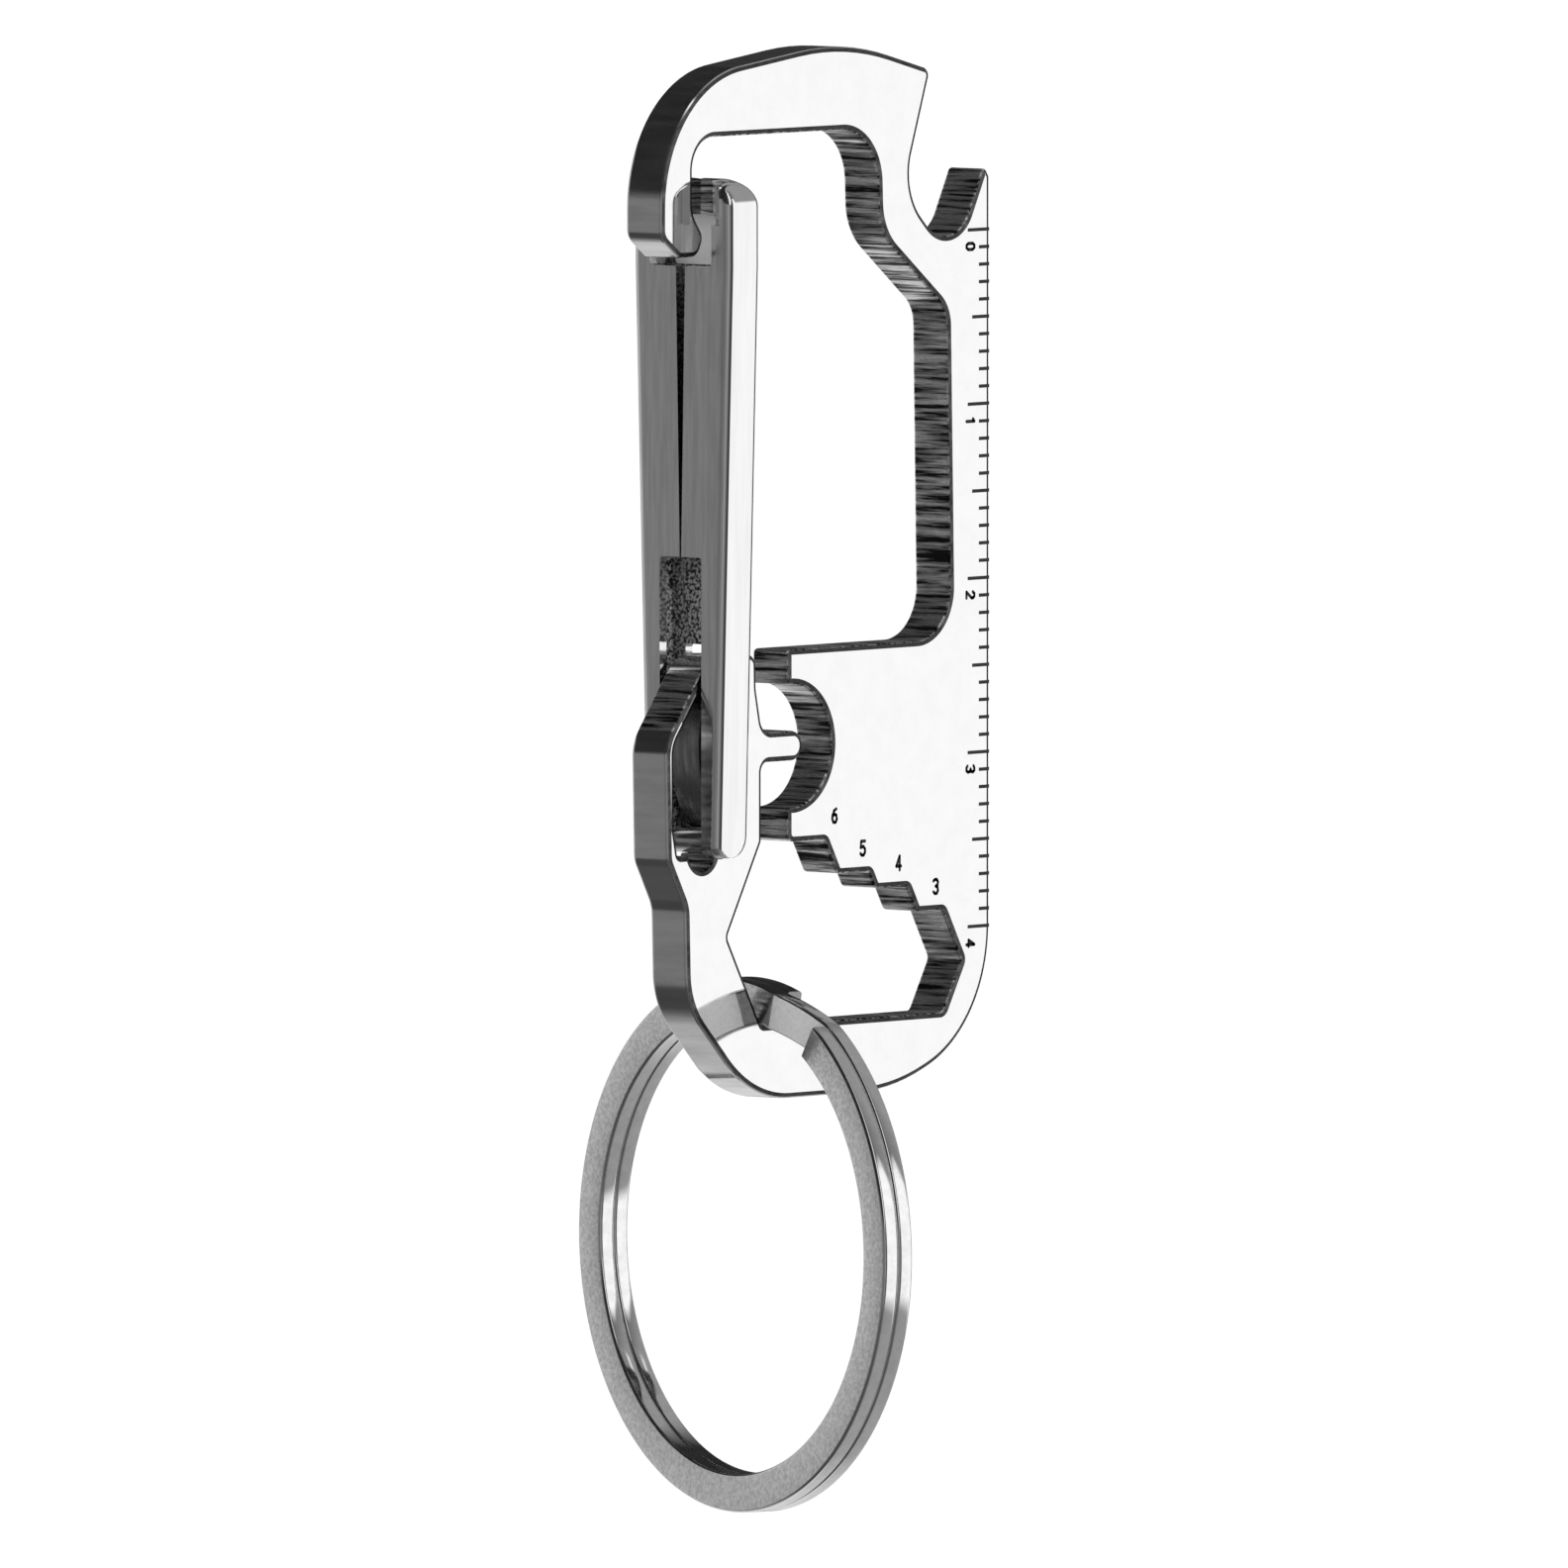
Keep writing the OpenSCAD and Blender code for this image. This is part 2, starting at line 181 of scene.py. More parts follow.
def corner_arc(before, corner, after, step=math.radians(3)):
    """The points that round one corner, given as (x, z, radius)."""
    b = Vector(corner[:2])
    to_a = (Vector(before[:2]) - b).normalized()
    to_c = (Vector(after[:2]) - b).normalized()
    half = to_a.angle(to_c) / 2
    middle = b + (to_a + to_c).normalized() * corner[2] / math.sin(half)
    first = b + to_a * corner[2] / math.tan(half) - middle
    turn = math.pi - 2 * half
    way = math.copysign(1, to_a.y * to_c.x - to_a.x * to_c.y)
    start = math.atan2(first.y, first.x)
    count = max(2, math.ceil(turn / step))
    return [middle + corner[2] * Vector((math.cos(start + way * turn * i / count),
                                         math.sin(start + way * turn * i / count)))
            for i in range(count + 1)]


def rounded(corners):
    """An outline of corners (x, z, radius), where a radius of 0 keeps the corner sharp."""
    points = []
    for i, corner in enumerate(corners):
        if corner[2] == 0:
            points.append(Vector(corner[:2]))
        else:
            points += corner_arc(corners[i - 1], corner, corners[(i + 1) % len(corners)])
    kept = [p for i, p in enumerate(points) if (p - points[i - 1]).length > 1e-4]
    area = sum(a.x * b.y - b.x * a.y for a, b in zip(kept, kept[1:] + kept[:1]))
    return kept if area > 0 else kept[::-1]


def arc_points(x, z, radius, start, end, count):
    """Sharp points along an arc, with its angles in degrees."""
    angles = [math.radians(start + (end - start) * i / count) for i in range(count + 1)]
    return [(x + radius * math.cos(a), z + radius * math.sin(a), 0) for a in angles]


def step_start(i):
    return NECK_IN if i == 0 else step_start(i - 1) + FLAT_L[i - 1] + (STEP_Z[i - 1] - STEP_Z[i]) / TAN60


def arch_corners():
    return [(LEFT, 1.15 - NOSE_DROP, 1), (LEFT, TOP - 1.68, 8), (RIGHT - 12.9, TOP + 0.34, 22),
            (RIGHT - BEAK_IN + 0.15, TOP - 1.6, 0.5), (RIGHT - BEAK_IN - 2.25, 2.8 - MOUTH_DROP, 3.5),
            (RIGHT - 3.25, -MOUTH_DROP - 1.4, 2.3), (RIGHT - 0.45, 4.05 - MOUTH_DROP, 0.25),
            (RIGHT, 3.4 - MOUTH_DROP, 0.3)]


def base_corners():
    return [(RIGHT, BASE + 3.3, CORNER_R), (RIGHT - 8.6, BASE, 16), (POST_OUT + 7.55, BASE, 8),
            (POST_OUT + 1.85, BASE + 5.7, 4.5), (POST_OUT + 1.7, BASE + 11.3, 2),
            (POST_OUT + 0.15, BASE + 14, 1.5), (POST_OUT, DECK_Z - 4.9, 2.5),
            (POST_OUT + 3.85, DECK_Z + 0.05, 2.5), (POST_IN - 0.5, DECK_Z - 0.15, 0.65)]


def wrench_corners():
    corners = [(POST_IN - 0.45, HOLE_Z + 3.4, 2), (POST_IN + 0.1, HOLE_Z + PEG_H / 2, 0.9),
               (POST_IN + PEG_L, HOLE_Z + PEG_H / 2, PEG_H / 2 - 0.01),
               (POST_IN + PEG_L, HOLE_Z - PEG_H / 2, PEG_H / 2 - 0.01),
               (POST_IN, HOLE_Z - PEG_H / 2, 0.6), (POST_IN, STEP_Z[0] + 0.1, 0.4),
               (HEX_LEFT, FLOOR_Z + HEX_HALF, 0.4), (POST_IN, FLOOR_Z, 0.3),
               (HEX_RIGHT - LAST_HALF / TAN60, FLOOR_Z, 0.5), (HEX_RIGHT, FLOOR_Z + LAST_HALF, 0.4)]
    for i in (3, 2, 1, 0):
        corners += [(step_start(i) + FLAT_L[i], STEP_Z[i], 0.35),
                    (step_start(i), STEP_Z[i], 0.5 if i == 0 else 0.35)]
    meets = math.degrees(math.acos((NECK_IN - HOLE_X) / HOLE_R))
    return corners + arc_points(HOLE_X, HOLE_Z, HOLE_R, -meets, meets, 64)


def opening_corners():
    return [(NECK_IN, DECK_Z, 0.25), (RIGHT - SPINE_W + 0.15, DECK_Z, 3),
            (RIGHT - SPINE_W - 0.2, -MOUTH_DROP - 4.1, 2), (RIGHT - SPINE_W - 6.2, 0.5 - MOUTH_DROP, 3.5),
            (RIGHT - SPINE_W - 6.4, 0, 3.2), (LEFT + ARM_W, 0, 1.9), (LEFT + ARM_W, 2.5 - NOSE_DROP, 1.6),
            (LEFT + ARM_W + BARB_REACH + 0.15, 1.15 - NOSE_DROP, 0.7),
            (LEFT + ARM_W + BARB_REACH - 0.4, -NOSE_DROP, 0.8), (LEFT + 1.6, -NOSE_DROP, 0.3)]


def slot_corners():
    rise = 0.3
    dip = math.degrees(math.asin(rise / RELIEF_R))
    relief = arc_points(GATE_MID - 1.1, SLOT_FLOOR + rise, RELIEF_R, -dip, dip - 180, 32)
    return ([(SLOT_LEFT, DECK_Z - 5.1, 1.6), (SLOT_LEFT + 3.25, SLOT_TOP, 0.4), (SLOT_RIGHT, SLOT_TOP, 0.3),
             (SLOT_RIGHT, SLOT_FLOOR, 0.25)] + relief
            + [(SLOT_LEFT + 0.35, SLOT_FLOOR, 0.25), (SLOT_LEFT, SLOT_FLOOR + 1.6, 1)])


# ---- mesh helpers, in millimetres ----------------------------------------------------------------

def to_object(name, bm):
    """A linked object from a bmesh."""
    mesh = bpy.data.meshes.new(name)
    bm.to_mesh(mesh)
    bm.free()
    piece = bpy.data.objects.new(name, mesh)
    bpy.context.scene.collection.objects.link(piece)
    return piece


def inset(loop, amount):
    """Moves a closed loop into its left side by an amount, mitred at each point."""
    moved = []
    for i, point in enumerate(loop):
        back = (point - loop[i - 1]).normalized()
        ahead = (loop[(i + 1) % len(loop)] - point).normalized()
        sides = Vector((-back.y, back.x)) + Vector((-ahead.y, ahead.x))
        moved.append(point + sides * amount / max(0.5, sides.dot(sides) / 2))
    return moved


def add_ring(bm, loop, y):
    return [bm.verts.new((p.x, y, p.y)) for p in loop]


def bridge(bm, ring_a, ring_b, material=0):
    for i in range(len(ring_a)):
        face = bm.faces.new((ring_a[i - 1], ring_a[i], ring_b[i], ring_b[i - 1]))
        face.material_index = material


def slab(loops, front, back, edge):
    """A flat part from one outer loop and its holes: faces 0, walls 1 and the bands at its edges 2."""
    bm = bmesh.new()
    ends = {front: [], back: []}
    for n, loop in enumerate(loops):
        loop = loop if n == 0 else loop[::-1]
        levels = [(drawn, front + sunk) for drawn, sunk in edge]
        levels += [(drawn, back - sunk) for drawn, sunk in edge[::-1]]
        rings = [add_ring(bm, inset(loop, amount), y) for amount, y in levels]
        for k in range(len(rings) - 1):
            bridge(bm, rings[k], rings[k + 1], 2 if k in (0, len(rings) - 2) else 1)
        ends[front].append(rings[0])
        ends[back].append(rings[-1])
    for rings in ends.values():
        flat = [v for ring in rings for v in ring]
        for triangle in tessellate_polygon([[Vector((v.co.x, v.co.z, 0)) for v in ring] for ring in rings]):
            if len({flat[i] for i in triangle}) == 3:
                bm.faces.new([flat[i] for i in triangle])
    bmesh.ops.recalc_face_normals(bm, faces=bm.faces)
    return bm


def loft(rings):
    """A closed form through rings of equal length, each a list of (x, y, z)."""
    bm = bmesh.new()
    made = [[bm.verts.new(p) for p in ring] for ring in rings]
    for ring_a, ring_b in zip(made, made[1:]):
        bridge(bm, ring_a, ring_b)
    bm.faces.new(made[0][::-1])
    bm.faces.new(made[-1])
    bmesh.ops.recalc_face_normals(bm, faces=bm.faces)
    return bm


def prism(points, low, high, axis):
    """A straight cutter from an outline, between two levels of the named axis."""
    place = {"x": lambda p, t: (t, p[0], p[1]), "y": lambda p, t: (p[0], t, p[1]),
             "z": lambda p, t: (p[0], p[1], t)}[axis]
    return loft([[place(p, low) for p in points], [place(p, high) for p in points]])


def box_points(x0, x1, z0, z1):
    return [(x0, z0), (x1, z0), (x1, z1), (x0, z1)]


def cut(piece, cutters):
    """Subtracts each cutter from a piece."""
    for bm in cutters:
        cutter = to_object("cutter", bm)
        change = piece.modifiers.new("cut", "BOOLEAN")
        change.operation = "DIFFERENCE"
        change.solver = "EXACT"
        change.use_self = True
        change.object = cutter
        evaluated = piece.evaluated_get(bpy.context.evaluated_depsgraph_get())
        mesh = bpy.data.meshes.new_from_object(evaluated)
        piece.modifiers.clear()
        piece.data = mesh
        bpy.data.objects.remove(cutter)


def settle(piece, materials, body, node, smooth=8):
    """Scales a piece to metres, shades it, gives it its finish and body, and hides the imported part of that
    node.
    """
    mesh = piece.data
    mesh.transform(Matrix.Scale(MM, 4))
    finishes = [polygon.material_index for polygon in mesh.polygons]
    mesh.materials.clear()
    for material in materials:
        mesh.materials.append(material)
    for polygon, finish in zip(mesh.polygons, finishes):
        polygon.use_smooth = True
        polygon.material_index = min(finish, len(materials) - 1)
    mesh.set_sharp_from_angle(angle=math.radians(smooth))
    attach(piece, body)
    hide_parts(node)


# ---- node helper ---------------------------------------------------------------------------------

class Nodes:
    """Adds and links nodes in one tree."""

    def __init__(self, tree):
        self.tree = tree

    def add(self, kind, inputs=(), **settings):
        node = self.tree.nodes.new(kind)
        for name, value in settings.items():
            setattr(node, name, value)
        pairs = inputs.items() if isinstance(inputs, dict) else enumerate(inputs)
        for key, value in pairs:
            if isinstance(value, bpy.types.NodeSocket):
                self.tree.links.new(value, node.inputs[key])
            elif value is not None:
                node.inputs[key].default_value = value
        return node

    def math(self, operation, *inputs, clamp=False):
        return self.add("ShaderNodeMath", inputs, operation=operation, use_clamp=clamp).outputs[0]

    def ramp(self, factor, stops):
        node = self.add("ShaderNodeValToRGB", [factor])
        elements = node.color_ramp.elements
        while len(elements) < len(stops):
            elements.new(0.5)
        for element, (place, grey) in zip(elements, stops):
            element.position = place
            element.color = (grey, grey, grey, 1)
        return node.outputs[0]


# ---- finishes ------------------------------------------------------------------------------------

def streak_group():
    """Stretched noise, as fine lines or specks: a mask and a height."""
    tree = bpy.data.node_groups.new("steel_streaks", "ShaderNodeTree")
    socket = tree.interface.new_socket
    for name, kind, value in (("Vector", "NodeSocketVector", None),
                              ("Stretch", "NodeSocketVector", (1, 1, 1)),
                              ("Scale", "NodeSocketFloat", 1000), ("Detail", "NodeSocketFloat", 4),
                              ("Low", "NodeSocketFloat", 0.35), ("High", "NodeSocketFloat", 0.65)):
        made = socket(name=name, in_out="INPUT", socket_type=kind)
        if value is not None:
            made.default_value = value
    socket(name="Mask", in_out="OUTPUT", socket_type="NodeSocketFloat")
    socket(name="Height", in_out="OUTPUT", socket_type="NodeSocketFloat")
    n = Nodes(tree)
    given = n.add("NodeGroupInput").outputs
    stretched = n.add("ShaderNodeVectorMath", [given["Vector"], given["Stretch"]], operation="MULTIPLY")
    noise = n.add("ShaderNodeTexNoise", {"Vector": stretched.outputs[0], "Scale": given["Scale"],
                                         "Detail": given["Detail"], "Roughness": 0.6}).outputs[0]
    mask = n.add("ShaderNodeMapRange", [noise, given["Low"], given["High"], 0, 1]).outputs[0]
    result = n.add("NodeGroupOutput")
    tree.links.new(mask, result.inputs["Mask"])
    tree.links.new(noise, result.inputs["Height"])
    return tree


STREAKS = streak_group()


def steel(name, grey, roughness, stretch, scale, bump, dark=None, spread=(0.35, 0.65), detail=4, metallic=1.0,
          shade=None):
    """Bare steel: streaked roughness, tone and height along one direction; shade paints shade onto it,
    darkening the tone along X.
    """
    material = bpy.data.materials.new(name)
    material.use_nodes = True
    tree = material.node_tree
    n = Nodes(tree)
    shader = tree.nodes["Principled BSDF"]
    shader.inputs["Metallic"].default_value = metallic
    place = n.add("ShaderNodeTexCoord").outputs["Object"]
    streaks = n.add("ShaderNodeGroup", node_tree=STREAKS)
    tree.links.new(place, streaks.inputs["Vector"])
    for key, value in (("Stretch", stretch), ("Scale", scale), ("Detail", detail), ("Low", spread[0]),
                       ("High", spread[1])):
        streaks.inputs[key].default_value = value
    mask, height = streaks.outputs
    tone = n.ramp(mask, [(0, grey if dark is None else dark), (1, grey)])
    # painted shade: the tone fades to near black across the given span along X
    if shade:
        along = n.add("ShaderNodeSeparateXYZ", [place]).outputs[0]
        painted_shade = n.add("ShaderNodeMapRange", [along, shade[0] * MM, shade[1] * MM, 1, 0.02]).outputs[0]
        tone = n.add("ShaderNodeMixRGB", [1, tone, painted_shade], blend_type="MULTIPLY").outputs[0]
    rough = n.add("ShaderNodeMapRange", [mask, 0, 1, roughness[1], roughness[0]]).outputs[0]
    raised = n.add("ShaderNodeBump", {"Strength": 1, "Distance": bump * MM, "Height": height}).outputs[0]
    tree.links.new(tone, shader.inputs["Base Color"])
    tree.links.new(rough, shader.inputs["Roughness"])
    tree.links.new(raised, shader.inputs["Normal"])
    return material


def black_fill():
    """Matt black paint, slightly uneven, in the engraved lines."""
    material = bpy.data.materials.new("black_mark_fill")
    material.use_nodes = True
    tree = material.node_tree
    n = Nodes(tree)
    shader = tree.nodes["Principled BSDF"]
    place = n.add("ShaderNodeTexCoord").outputs["Object"]
    noise = n.add("ShaderNodeTexNoise", {"Vector": place, "Scale": 9000, "Detail": 3}).outputs[0]
    tree.links.new(n.ramp(noise, [(0.3, 0.006), (0.7, 0.025)]), shader.inputs["Base Color"])
    rough = n.add("ShaderNodeMapRange", [noise, 0, 1, 0.5, 0.8]).outputs[0]
    tree.links.new(rough, shader.inputs["Roughness"])
    tree.links.new(n.add("ShaderNodeBump", {"Distance": 0.01 * MM, "Height": noise}).outputs[0],
                   shader.inputs["Normal"])
    return material


polished = steel("mirror_polished_face", 0.96, (0.03, 0.07), (1, 1, 1), 700, 0.0004, dark=0.93)
ground = steel("ground_outer_edge", 0.86, (0.08, 0.16), (1, 0.15, 1), 1500, 0.002, dark=0.72)
cut_wall = steel("laser_cut_wall", 1.0, (0.25, 0.45), (1, 0.05, 1), 3600, 0.07, dark=0.02,
                 spread=(0.42, 0.62))
# Painted dark reflection: the bands where the faces turn into the walls get near-black steel, so every edge
# shows a dark outline
edge_band_painted_dark = steel("painted_dark_edge_reflection", 0.12, (0.2, 0.35), (1, 1, 1), 1500, 0.001, dark=0.05)
cheek = steel("polished_gate_cheek", 0.94, (0.05, 0.1), (1, 1, 0.08), 1800, 0.0008, dark=0.88)
sheet = steel("satin_gate_sheet", 0.92, (0.16, 0.26), (1, 1, 0.08), 2500, 0.002, dark=0.74)
# The gate's inside: raw sheet with random dark specks, plus painted shade that darkens it deeper than 2.2 mm
# in from the outer face
raw_sheet_painted_shade = steel("raw_gate_inside_painted_shade", 1.0, (0.5, 0.7), (1, 1, 1), 5200, 0.05, dark=0.02, spread=(0.44, 0.56),
                  metallic=0.1, shade=(GATE_OUT + 2.2, GATE_OUT + 2.35))
# Painted light: the inside of the notch is white, nearly non-metal paint, so it reads as lit
notch_wall_painted_light = steel("painted_light_notch_inside", 1.0, (0.4, 0.6), (1, 1, 1), 3000, 0.001, dark=0.94, metallic=0)
blued = steel("blued_spring_leaf", 0.42, (0.2, 0.35), (1, 1, 0.1), 3000, 0.002, dark=0.25)
pin_finish = steel("ground_pin", 0.7, (0.12, 0.25), (1, 0.2, 1), 3000, 0.002, dark=0.55)
ring_face = steel("satin_ring_face", 0.95, (0.14, 0.26), (1, 1, 1), 4200, 0.006, dark=0.66)
ring_rim = steel("polished_ring_rim", 0.95, (0.05, 0.12), (1, 1, 1), 1500, 0.001, dark=0.85)
# Painted light: the ramp from one turn to the next is a paler, mostly non-metal grey, so it reads as lit
ring_ramp_painted_light = steel("painted_light_ring_ramp", 0.62, (0.4, 0.55), (1, 1, 1), 4200, 0.004, dark=0.54, metallic=0.15)
mark_black = black_fill()


# ---- pieces --------------------------------------------------------------------------------------

def digit_lines(n):
    """Points of one bent line on a grid 2 wide and 4 high."""
    return {0: [(0.6, 0), (0, 0.9), (0, 3.1), (0.6, 4), (1.4, 4), (2, 3.1), (2, 0.9), (1.4, 0), (0.6, 0)],
            1: [(0.4, 3.3), (1.2, 4), (1.2, 0)],
            2: [(0, 3.2), (0.6, 4), (1.5, 4), (2, 3.3), (2, 2.6), (0, 0), (2, 0)],
            3: [(0, 3.6), (0.6, 4), (1.5, 4), (2, 3.3), (1.8, 2.4), (1, 2.1), (1.8, 1.8), (2, 0.8), (1.5, 0),
                (0.6, 0), (0, 0.5)],
            4: [(1.5, 0), (1.5, 4), (0, 1.1), (2.1, 1.1)],
            5: [(2, 4), (0.3, 4), (0.1, 2.2), (1.3, 2.5), (2, 1.7), (2, 0.8), (1.4, 0), (0.5, 0), (0, 0.5)],
            6: [(1.8, 3.8), (0.9, 3.4), (0.1, 2), (0, 1), (0.5, 0), (1.5, 0), (2, 0.8), (1.8, 2), (1, 2.3),
                (0.1, 1.7)]}[n]


def stroke_mesh(bm, a, b, front, back):
    """One straight stroke with round ends, sunk from front to back."""
    run = (b - a).normalized()
    turn = math.atan2(run.y, run.x)
    loop = [a + LINE_W / 2 * Vector((math.cos(turn + math.pi / 2 + math.pi * k / 8),
                                     math.sin(turn + math.pi / 2 + math.pi * k / 8))) for k in range(9)]
    loop += [b + LINE_W / 2 * Vector((math.cos(turn - math.pi / 2 + math.pi * k / 8),
                                      math.sin(turn - math.pi / 2 + math.pi * k / 8))) for k in range(9)]
    ring_a, ring_b = add_ring(bm, loop, front), add_ring(bm, loop, back)
    bridge(bm, ring_a, ring_b)
    bm.faces.new(ring_a[::-1])
    bm.faces.new(ring_b)


def digit_mesh(bm, n, height, x, z, turned, front, back):
    """A digit centred on x and z, turned a quarter clockwise on the ruler."""
    points = []
    for u, v in digit_lines(n):
        p = Vector((u - 1, v - 2)) * (height - LINE_W) / 4
        points.append(Vector((x, z)) + (Vector((p.y, -p.x)) if turned else p))
    for a, b in zip(points, points[1:]):
        stroke_mesh(bm, a, b, front, back)


def tick_length(i):
    return 2 if i % 10 == 0 else 1.6 if i % 5 == 0 else 1


def ruler_digits(bm, front, back):
    for i in range(0, TICKS, 10):
        digit_mesh(bm, i // 10, RULER_DIGIT, RIGHT - 1.75, RULER_ZERO - i - 0.95, True, front, back)


def size_digits(bm, front, back):
    for i, n in enumerate((6, 5, 4, 3)):
        digit_mesh(bm, n, SIZE_DIGIT, step_start(i) + FLAT_L[i] + SIZE_OFFSET[i], STEP_Z[i] + 1.35, False,
                   front, back)


def outer_side(centre, normal):
    """Whether a wall is on the ground outer contour, not in an opening."""
    in_slot = SLOT_LEFT - 0.1 < centre.x < SLOT_RIGHT + 0.1 and SLOT_FLOOR - 1.2 < centre.z < SLOT_TOP + 0.1
    post = centre.x < POST_OUT + 4.3 and normal.x < -0.1 and centre.z > BASE and not in_slot
    hook = centre.z > -NOSE_DROP - 0.2 and centre.x < 14 and (normal.z > 0.2 or centre.x < LEFT + 1.7)
    return post or hook or centre.x > RIGHT - 0.1 or centre.z < FLOOR_Z - 0.3


def make_plate():
    """The laser-cut plate with rounded edges and engraved grooves."""
    outer = rounded(arch_corners() + base_corners() + wrench_corners() + opening_corners())
    piece = to_object("steel_plate", slab([outer, rounded(slot_corners())], FRONT, BACK, EDGE))
    marks = bmesh.new()
    for i in range(TICKS):
        z = RULER_ZERO - i
        x0, x1 = RIGHT - tick_length(i), RIGHT + CUT_PAST
        outline = box_points(x0, x1, z - LINE_W / 2, z + LINE_W / 2)
        tick = prism(outline, FRONT - CUT_PAST, FRONT + MARK_DEPTH, "y")
        mesh = bpy.data.meshes.new("tick")
        tick.to_mesh(mesh)
        tick.free()
        marks.from_mesh(mesh)
        bpy.data.meshes.remove(mesh)
    ruler_digits(marks, FRONT - CUT_PAST, FRONT + MARK_DEPTH)
    size_digits(marks, FRONT - CUT_PAST, FRONT + MARK_DEPTH)
    bmesh.ops.recalc_face_normals(marks, faces=marks.faces)
    cut(piece, [marks])
    for polygon in piece.data.polygons:
        if polygon.material_index == 1 and outer_side(polygon.center, polygon.normal):
            polygon.material_index = 3
    # the edge bands take the painted dark reflection
    settle(piece, [polished, cut_wall, edge_band_painted_dark, ground], "plate", "body_plate")


def gate_half_width(z):
    """Half width of the gate, which narrows from the notch to the foot, before its head's rounding."""
    if z > NOTCH_FLOOR:
        return HEAD_HALF
    return HEAD_HALF + (FOOT_HALF - HEAD_HALF) * (NOTCH_FLOOR - z) / (NOTCH_FLOOR - GATE_FOOT + 0.5)


def end_round(distance, radius):
    """How far a round end draws in at a distance from its tip."""
    if distance >= radius:
        return 0
    return radius - math.sqrt(max(0, radius ** 2 - (radius - distance) ** 2))


def gate_section(z):
    """The outer section of the gate at one level: a rectangle with round folds."""
    up, down = GATE_TOP - z, z - GATE_FOOT
    x0 = GATE_OUT + end_round(up, BACK_ROUND) + end_round(down, FOOT_ROUND_OUT)
    x1 = GATE_IN - end_round(up, HEAD_ROUND) - end_round(down, FOOT_ROUND_IN)
    half = gate_half_width(z) - end_round(up, HEAD_ROUND)
    fold = min(FOLD_ROUND, (x1 - x0) / 2 - 0.02, half - 0.02)
    points = []
    for sx, sy, start in ((x1, half, 0), (x0, half, 90), (x0, -half, 180), (x1, -half, 270)):
        middle = (sx - math.copysign(fold, sx - GATE_MID), sy - math.copysign(fold, sy))
        for k in range(13):
            a = math.radians(start + 7.5 * k)
            points.append((middle[0] + fold * math.cos(a), middle[1] + fold * math.sin(a), z))
    return points


def open_slot(low, top):
    """The outline of a slot that is open at the foot, with round corners at its top."""
    return rounded([(-FORK_HALF, low, 0), (FORK_HALF, low, 0), (FORK_HALF, top, CUT_ROUND),
                    (-FORK_HALF, top, CUT_ROUND)])


def make_gate():
    """The gate, folded from one sheet: round head, notch, seam and fork."""
    steps = 14
    head = [GATE_TOP - HEAD_ROUND * (1 - math.cos(math.pi / 2 * k / steps)) for k in range(steps + 1)]
    foot = [GATE_FOOT + FOOT_ROUND_IN * (1 - math.cos(math.pi / 2 * k / steps)) for k in range(steps + 1)]
    levels = foot + [GATE_FOOT + 4, WINDOW_TOP, -16, NOTCH_FLOOR, NOTCH_FLOOR + 0.01, NOTCH_TOP] + head[::-1]
    piece = to_object("folded_gate", loft([gate_section(z) for z in levels]))
    low = GATE_FOOT - 1
    wide, narrow = HEAD_HALF - SHEET_T, gate_half_width(low) - SHEET_T
    inside = prism([(-wide, NOTCH_TOP - 0.4), (wide, NOTCH_TOP - 0.4), (wide, NOTCH_FLOOR), (narrow, low),
                    (-narrow, low), (-wide, NOTCH_FLOOR)], GATE_OUT + SHEET_T, GATE_IN - SHEET_T, "x")
    notch = prism(rounded([(-NOTCH_HALF, NOTCH_FLOOR, NOTCH_ROUND), (NOTCH_HALF, NOTCH_FLOOR, NOTCH_ROUND),
                           (NOTCH_HALF, NOTCH_TOP, NOTCH_ROUND), (-NOTCH_HALF, NOTCH_TOP, NOTCH_ROUND)]),
                  GATE_OUT - 1, GATE_IN - SHEET_T, "x")
    pressed = prism([(GATE_OUT - 0.6, -HEAD_HALF - 0.2), (GATE_OUT + PRESS_DEPTH, 0),
                     (GATE_OUT - 0.6, HEAD_HALF + 0.2)], NOTCH_TOP - 0.5, GATE_TOP + 1, "z")
    seam = prism([(-SEAM_HALF, NOTCH_FLOOR + 0.5), (-0.05, WINDOW_TOP - 0.5), (0.05, WINDOW_TOP - 0.5),
                  (SEAM_HALF, NOTCH_FLOOR + 0.5)], GATE_OUT - 1, GATE_OUT + SHEET_T + 0.3, "x")
    window = prism(open_slot(low, WINDOW_TOP), GATE_OUT - 1, GATE_OUT + SHEET_T + 0.3, "x")
    fork = prism(open_slot(low, WEB_SLOT_TOP), GATE_IN - SHEET_T - 0.3, GATE_IN + 1, "x")
    cut(piece, [inside, notch, pressed, seam, window, fork])
    # inner faces above the notch floor take the painted-light white; those below take the raw finish with
    # painted shade
    for polygon in piece.data.polygons:
        x, y, z = polygon.center
        inner = (GATE_OUT + SHEET_T - 0.02 < x < GATE_IN - SHEET_T + 0.02
                 and abs(y) < gate_half_width(z) - SHEET_T + 0.03 and z < NOTCH_TOP)
        finish = 0 if abs(polygon.normal.y) > 0.6 else 4 if z > NOTCH_TOP else 1
        polygon.material_index = (3 if z > NOTCH_FLOOR else 2) if inner else finish
    settle(piece, [cheek, sheet, raw_sheet_painted_shade, notch_wall_painted_light, polished], "gate", "gate")


